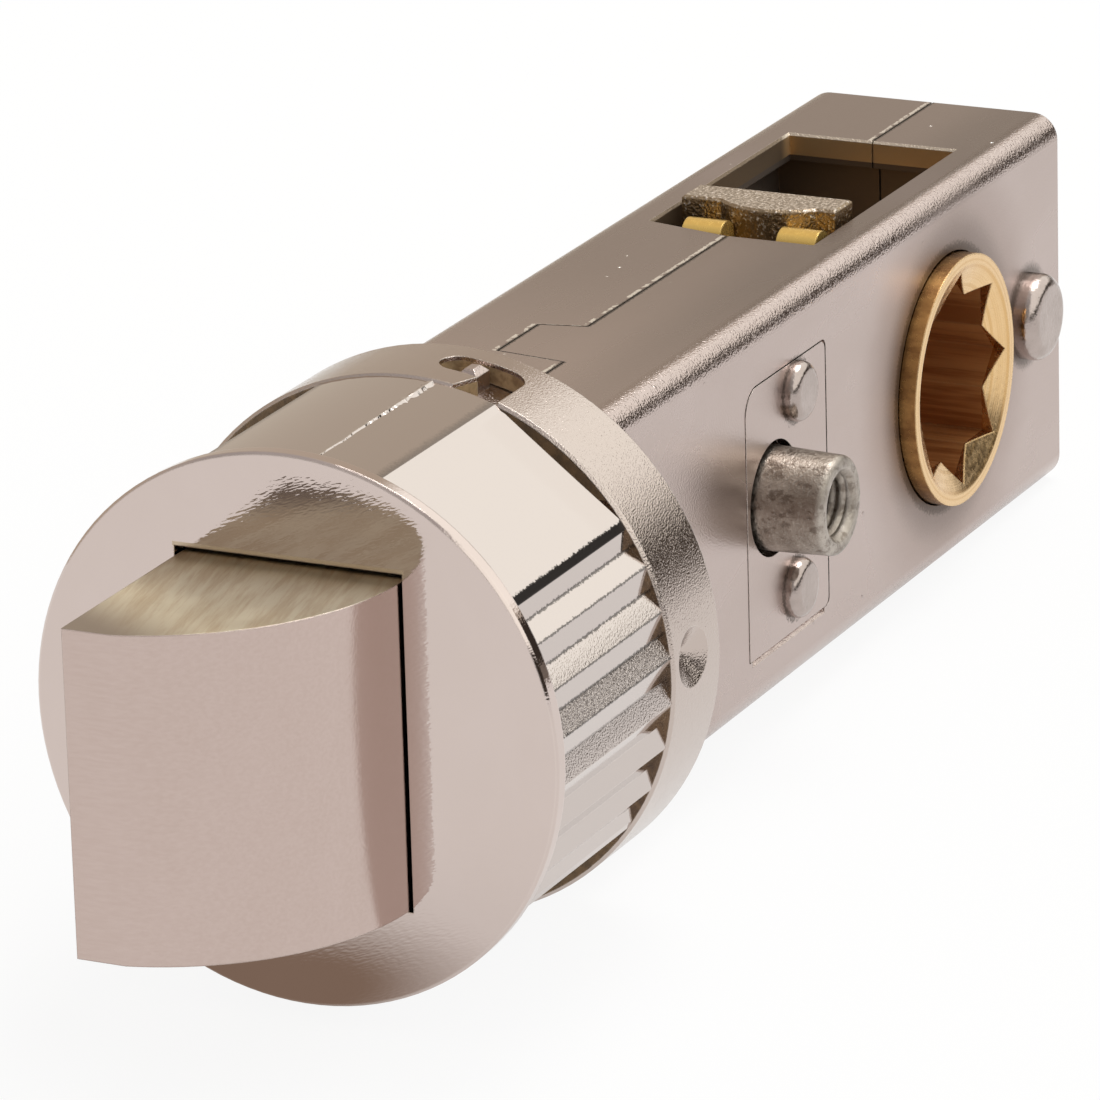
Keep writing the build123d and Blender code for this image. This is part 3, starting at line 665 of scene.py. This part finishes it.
def turned_brass():
    tree = new_material("turned_brass")
    turned = use(tree, TURNED, Centre=(FOLLOWER_X, 0.0, 0.0), Pitch=0.00025)
    fine = use(tree, GRAIN, Size=0.00022, Contrast=0.5)
    patches = use(tree, MOTTLE, Size=0.0016)["Patches"]
    stains = use(tree, MOTTLE, Size=0.0009, Stretch=(1.0, 2.0, 1.0))["Patches"]
    bands = use(tree, LINES, Stretch=(1.0, 20.0, 1.0), Size=0.0009)["Lines"]
    edges = use(tree, EDGES, Width=0.00012, Break=0.3, Size=0.0004)
    place = parts_of(tree, object_place(tree))
    across = unsigned(tree, place["Y"])

    # The star bore and the hub's side each have their own tone; the fingers' tone is lightened, a painted
    # light against the window's shade
    bore = times(tree, ramp(tree, turned["Radius"], 0.00552, 0.00548), below(tree, across, 0.00698))
    side = times(tree, ramp(tree, turned["Radius"], 0.00618, 0.00622), below(tree, across, 0.0077))
    lit_finger = ramp(tree, unsigned(tree, place["Z"]), 0.0068, 0.0070)
    tint = blend_colour(tree, times(tree, patches, 0.5), BRASS_PALE, BRASS_PATCH)
    tint = blend_colour(tree, ramp(tree, turned["Rings"], 0.42, 0.65, 0.0, 0.6), tint, BRASS)
    tint = blend_colour(tree, side, tint, blend_colour(tree, stains, BRASS, BRASS_SIDE))
    bore_tint = blend_colour(tree, ramp(tree, bands, 0.4, 0.6), BRASS_BORE, BRASS_BORE_PALE)
    tint = blend_colour(tree, bore, tint, bore_tint)
    # Fingers lightened: painted light
    tint = blend_colour(tree, lit_finger, tint, BRASS_FINGER_LIT)
    # Broken bright line along the edges: wear and a painted highlight
    tint = blend_colour(tree, times(tree, edges["Wear and highlight"], 0.4), tint, BRASS_PALE)
    rough = plus(tree, ramp(tree, fine["Height"], 0.3, 0.7, 0.18, 0.28), times(tree, bore, 0.12))
    height = plus(tree, turned["Rings"], times(tree, fine["Height"], 0.25))
    height = times(tree, height, minus(tree, 1.0, bore))
    metallic = minus(tree, 1.0, plus(tree, times(tree, bore, 0.35), times(tree, lit_finger, 0.25)))
    return finish_of("turned_brass", tint, rough, height, 0.00001, edges, metallic)


def dull_zinc():
    tree = new_material("dull_zinc")
    patches = use(tree, MOTTLE, Size=0.0011)["Patches"]
    stains = use(tree, MOTTLE, Size=0.0005, Stretch=(1.0, 1.6, 1.0))["Patches"]
    fine = use(tree, GRAIN, Size=0.00016, Contrast=0.6)
    edges = use(tree, EDGES, Width=0.00035, Break=0.2, Size=0.0005)
    tint = blend_colour(tree, patches, ZINC, ZINC_PALE)
    tint = blend_colour(tree, ramp(tree, stains, 0.5, 1.0, 0.0, 0.75), tint, ZINC_STAIN)
    tint = blend_colour(tree, times(tree, fine["Tops"], 0.6), tint, ZINC_WORN)
    tint = blend_colour(tree, times(tree, edges["Wear and highlight"], 0.8), tint, ZINC_WORN)
    rough = ramp(tree, fine["Height"], 0.3, 0.7, 0.30, 0.44)
    return finish_of("dull_zinc", tint, rough, fine["Height"], 0.000028, edges)


def granular_yoke():
    tree = new_material("granular_yoke")
    patches = use(tree, MOTTLE, Size=0.002)["Patches"]
    fine = use(tree, GRAIN, Size=0.00017, Contrast=1.0)
    pits = use(tree, PITS, Spacing=0.00022, Amount=0.35, Reach=0.35)["Pits"]
    edges = use(tree, EDGES, Width=0.0001, Break=0.2, Size=0.0003)
    top = ramp(tree, unsigned(tree, facing_of(tree)["Z"]), 0.6, 0.9)
    tint = blend_colour(tree, times(tree, patches, 0.4), SINTER, SINTER_PATCH)
    tint = blend_colour(tree, ramp(tree, fine["Height"], 0.42, 0.56, 0.8, 0.0), tint, SINTER_HOLLOW)
    # Painted shade: the faces that don't face up take a darker brown
    tint = blend_colour(tree, top, SINTER_SIDE_SHADE, tint)
    tint = blend_colour(tree, times(tree, pits, 0.4), tint, SINTER_DARK)
    tint = blend_colour(tree, fine["Tops"], tint, NICKEL_BRIGHT)
    rough = ramp(tree, fine["Height"], 0.3, 0.7, 0.30, 0.45)
    height = minus(tree, fine["Height"], times(tree, pits, 0.6))
    return finish_of("granular_yoke", tint, rough, height, 0.00006, edges)


def drawn_steel():
    tree = new_material("drawn_steel")
    patches = use(tree, MOTTLE, Size=0.0014)["Patches"]
    lines = use(tree, LINES, Stretch=(5.0, 1.0, 1.0), Size=0.0002)["Lines"]
    tint = blend_colour(tree, times(tree, patches, 0.5), STEEL, STEEL_DARK)
    rough = ramp(tree, lines, 0.3, 0.7, 0.22, 0.36)
    return finish_of("drawn_steel", tint, rough, lines, 0.000006)


disc_finish = brushed_disc()
bolt_finish = brushed_bolt()
case_finish = plated_case()
ring_finish = polished_ring()
rivet_finish = rivet_nickel()
brass_finish = turned_brass()
zinc_finish = dull_zinc()
yoke_finish = granular_yoke()
steel_finish = drawn_steel()

NODE_FINISH = {
    "forend_disc": disc_finish,
    "left_case": case_finish,
    "right_case": case_finish,
    "collar_ring": ring_finish,
    "latch_bolt": bolt_finish,
    "tail_yoke": yoke_finish,
    "tail_rivet_upper": steel_finish,
    "tail_rivet_lower": steel_finish,
    "latch_spring": steel_finish,
    "return_spring_upper": steel_finish,
    "return_spring_lower": steel_finish,
    "follower": brass_finish,
    "privacy_slider": zinc_finish,
    "privacy_plate": case_finish,
    "plate_rivet_upper": rivet_finish,
    "plate_rivet_lower": rivet_finish,
    "rear_rivet": rivet_finish,
    "detent_ball": steel_finish,
    "detent_spring": steel_finish,
}


def dress(name, material):
    node = frame["nodes"][name]
    parts = [node] + list(node.children_recursive)
    for part in parts:
        if part.type != "MESH":
            continue
        if not part.material_slots:
            part.data.materials.append(material)
        for slot in part.material_slots:
            slot.material = material


for node_name, node_finish in NODE_FINISH.items():
    dress(node_name, node_finish)


# A new piece from rows of points, joined row to row, which rides on a body and takes a finish
def piece_of_rows(name, rows, round_way, smooth, body, material):
    mesh = bpy.data.meshes.new(name)
    form = bmesh.new()
    rows = [[form.verts.new(point) for point in row] for row in rows]
    width = len(rows[0])
    spans = width if round_way else width - 1
    for first, second in zip(rows, rows[1:]):
        for j in range(spans):
            k = (j + 1) % width
            form.faces.new((first[j], first[k], second[k], second[j]))
    if round_way:
        form.faces.new(rows[0])
        form.faces.new(rows[-1])
    bmesh.ops.recalc_face_normals(form, faces=form.faces)
    form.to_mesh(mesh)
    form.free()
    mesh.materials.append(material)
    for face in mesh.polygons:
        face.use_smooth = smooth
    piece = bpy.data.objects.new(name, mesh)
    bpy.context.scene.collection.objects.link(piece)
    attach(piece, body)
    return piece


# Screw thread in the boss: a ridge that climbs round the hole
def boss_thread():
    steps = 40
    root_r = THREAD_R + 0.00002
    ridge = ((root_r, 0.42), (THREAD_CREST_R, 0.1), (THREAD_CREST_R, -0.1), (root_r, -0.42))
    rows = []
    for i in range(int(THREAD_DEPTH / THREAD_PITCH * steps) + 1):
        turn = 2 * pi * i / steps
        y = BOSS_TIP_Y - THREAD_START - THREAD_PITCH * i / steps
        rows.append([(BOSS_X + r * cos(turn), y + along * THREAD_PITCH, BOSS_Z + r * sin(turn))
                     for r, along in ridge])
    return piece_of_rows("boss_thread", rows, False, True, "privacy_slider", zinc_finish)


boss_thread()


# Ragged flash that stands along the parting line on top of the nose, and fades towards the disc
def nose_flash():
    steps = 90
    run = 0.0108
    foot = -0.00004
    rows = []
    for i in range(steps + 1):
        x = -0.0118 + run * i / steps
        fade = max(0.0, 1.0 - i / steps) ** 0.8
        rough = noise.noise(Vector((x * 4200.0, 0.3, 0.0)))
        coarse = noise.noise(Vector((x * 1500.0, 4.7, 0.0)))
        half = 0.00004 + 0.00024 * fade * (0.75 + 0.9 * rough)
        height = 0.00001 + 0.00014 * fade * (0.8 + 0.9 * coarse)
        middle = SEAM_Y + 0.00012 * coarse
        row = []
        for share, lift in ((-1.0, foot), (-0.55, height * (0.8 + 0.5 * rough)), (0.15, height), (1.0, foot)):
            y = middle + half * share
            row.append((x, y, (NOSE_R ** 2 - y ** 2) ** 0.5 + lift))
        rows.append(row)
    return piece_of_rows("nose_flash", rows, False, False, "case", case_finish)


nose_flash()


# Compression spring with closed ends
def coil_spring(node, middle_r, wire, turns, z):
    steps = 28
    sides = 10
    closed = wire * 1.05
    open_run = SPRING_RUN - wire - 2.0 * closed
    rows = []
    for i in range(turns * steps + 1):
        turn = i / steps
        rise = closed * min(turn, 1.0) + closed * max(turn - (turns - 1), 0.0)
        rise += open_run * min(max((turn - 1.0) / (turns - 2.0), 0.0), 1.0)
        x = SPRING_REAR_X + wire / 2 + rise
        row = []
        for j in range(sides):
            out = middle_r + wire / 2 * cos(2 * pi * j / sides)
            along = wire / 2 * sin(2 * pi * j / sides)
            row.append((x + along, out * cos(2 * pi * turn), z + out * sin(2 * pi * turn)))
        rows.append(row)
    piece = piece_of_rows(node + "_coil", rows, True, True, "case", steel_finish)
    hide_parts(node)
    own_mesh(piece)
    return piece


coil_spring("latch_spring", 0.0021, 0.0007, 7, 0.0)
coil_spring("return_spring_upper", 0.00145, 0.0005, 8, RETURN_SPRING_Z)
coil_spring("return_spring_lower", 0.00145, 0.0005, 8, -RETURN_SPRING_Z)


# Floor: it touches the ring's lower edge and the case's rear lower edge
FLOOR_SLOPE = (RING_R - CASE_HALF_HEIGHT) / (RING_REAR_X - CASE_REAR_X)
FLOOR_GAP = 0.00002
FLOOR_HALF = 0.9
UNDER_DISC = (0.0040, -0.0040, -0.0134)


# Its finish: pale, and with darker places that only the part's reflections see
def studio_floor_finish():
    tree = new_material("studio_floor")
    tree.nodes.clear()
    rays = add(tree, "ShaderNodeLightPath").outputs
    mirrored = rays["Is Glossy Ray"]
    seen = largest(tree, rays["Is Camera Ray"], mirrored, rays["Is Transmission Ray"])
    spot = object_place(tree)
    spot_parts = parts_of(tree, spot)
    from_disc = length_of(tree, vector_maths(tree, "SUBTRACT", spot, UNDER_DISC))
    shade = times(tree, ramp(tree, from_disc, 0.0125, 0.004), mirrored)
    distant = times(tree, ramp(tree, spot_parts["X"], -0.08, -0.16),
                    ramp(tree, spot_parts["Y"], -0.005, -0.04), mirrored)
    skirting = times(tree, ramp(tree, spot_parts["X"], -0.12, -0.19),
                     ramp(tree, spot_parts["Y"], 0.01, 0.05), mirrored)
    tint = blend_colour(tree, shade, WHITE, FLOOR_SHADE)
    tint = blend_colour(tree, distant, tint, REAR_WALL)
    tint = blend_colour(tree, skirting, tint, SKIRTING)
    lit = add(tree, "ShaderNodeBsdfDiffuse", {"Color": FLOOR_GREY})
    glow = add(tree, "ShaderNodeEmission", {"Color": tint, "Strength": 1.0})
    share = largest(tree, times(tree, seen, 0.62), times(tree, rays["Is Camera Ray"], 0.9), shade, distant,
                    skirting)
    mixed = add(tree, "ShaderNodeMixShader", {0: share, 1: lit.outputs[0], 2: glow.outputs[0]})
    add(tree, "ShaderNodeOutputMaterial", {"Surface": mixed.outputs[0]})
    return bpy.data.materials["studio_floor"]


def studio_floor():
    mesh = bpy.data.meshes.new("studio_floor")
    form = bmesh.new()
    corners = []
    for x, y in ((-FLOOR_HALF, -FLOOR_HALF), (FLOOR_HALF, -FLOOR_HALF), (FLOOR_HALF, FLOOR_HALF),
                 (-FLOOR_HALF, FLOOR_HALF)):
        corners.append(form.verts.new((x, y, -RING_R - (x - RING_REAR_X) * FLOOR_SLOPE - FLOOR_GAP)))
    form.faces.new(corners)
    bmesh.ops.subdivide_edges(form, edges=form.edges[:], cuts=6, use_grid_fill=True)
    form.to_mesh(mesh)
    form.free()
    mesh.materials.append(studio_floor_finish())
    floor = bpy.data.objects.new("studio_floor", mesh)
    bpy.context.scene.collection.objects.link(floor)


studio_floor()


# Studio round the part: a wide soft light above on the right, a dim wall behind on the left,
# dark walls in front and along the horizon
def studio_world():
    world = bpy.data.worlds.new("studio_world")
    bpy.context.scene.world = world
    world.use_nodes = True
    tree = world.node_tree
    tree.nodes.clear()
    place = add(tree, "ShaderNodeTexCoord").outputs["Generated"]
    height = parts_of(tree, place)["Z"]
    level = direction_of(tree, vector_maths(tree, "MULTIPLY", place, (1.0, 1.0, 0.0)))

    # Share of a wall: full within the second angle of its middle, none beyond the first
    def wall_share(azimuth, outer, inner):
        aim = (cos(radians(azimuth)), sin(radians(azimuth)), 0.0)
        return ramp(tree, dot_of(tree, level, aim), cos(radians(outer)), cos(radians(inner)))

    # Share by elevation, from none at the first angle to full at the second
    def height_share(none_at, full_at):
        return ramp(tree, height, sin(radians(none_at)), sin(radians(full_at)))

    wall = blend_colour(tree, wall_share(210.0, 75.0, 55.0), SIDE_WALL, REAR_WALL)
    front = times(tree, wall_share(-26.0, 60.0, 35.0), height_share(55.0, 35.0))
    wall = blend_colour(tree, front, wall, FRONT_WALL)
    low = times(tree, height_share(13.5, 11.0), wall_share(120.0, 80.0, 66.0))
    wall = blend_colour(tree, low, wall, LOW_BAND)
    wall = blend_colour(tree, times(tree, height_share(60.0, 80.0), 0.5), wall, CEILING)
    box = times(tree, wall_share(112.0, 77.0, 68.0), height_share(12.5, 15.5))
    sky = blend_colour(tree, box, wall, SOFT_LIGHT)
    colour = blend_colour(tree, below(tree, height, 0.0), sky, GROUND)
    rays = add(tree, "ShaderNodeLightPath").outputs
    colour = blend_colour(tree, rays["Is Camera Ray"], colour, WHITE)
    glow = add(tree, "ShaderNodeBackground", {"Color": colour, "Strength": 1.0})
    add(tree, "ShaderNodeOutputWorld", {"Surface": glow.outputs[0]})


studio_world()


def overhead_lamp():
    data = bpy.data.lights.new("overhead_lamp", "AREA")
    data.shape = "DISK"
    data.size = 0.35
    data.energy = 1.5
    lamp = bpy.data.objects.new("overhead_lamp", data)
    bpy.context.scene.collection.objects.link(lamp)
    lamp.location = (-0.25, 0.05, 0.55)
    lamp.rotation_euler = (Vector((-0.035, 0.0, 0.0)) - lamp.location).to_track_quat("-Z", "Y").to_euler()


overhead_lamp()


# Camera, fitted to the photograph: its place, its azimuth, elevation and roll in degrees, and its lens
CAMERA_PLACE = (0.2844585, 0.1512406, 0.1171145)
CAMERA_TURNS = (25.985, 18.721, 1.634)
CAMERA_LENS = 258.63


def photo_camera():
    data = bpy.data.cameras.new("photo_camera")
    data.sensor_width = 36.0
    data.sensor_fit = "AUTO"
    data.lens = CAMERA_LENS
    data.clip_start = 0.01
    data.clip_end = 20.0
    camera = bpy.data.objects.new("photo_camera", data)
    bpy.context.scene.collection.objects.link(camera)
    azimuth, elevation, roll = (radians(turn) for turn in CAMERA_TURNS)
    forward = -Vector((cos(elevation) * cos(azimuth), cos(elevation) * sin(azimuth), sin(elevation)))
    side = forward.cross(Vector((0.0, 0.0, 1.0))).normalized()
    down = forward.cross(side)
    right = cos(roll) * side + sin(roll) * down
    lower = -sin(roll) * side + cos(roll) * down
    turn = Matrix((right, -lower, -forward)).transposed().to_4x4()
    camera.matrix_world = Matrix.Translation(CAMERA_PLACE) @ turn
    bpy.context.scene.camera = camera


photo_camera()

bpy.context.scene.view_settings.view_transform = "Standard"
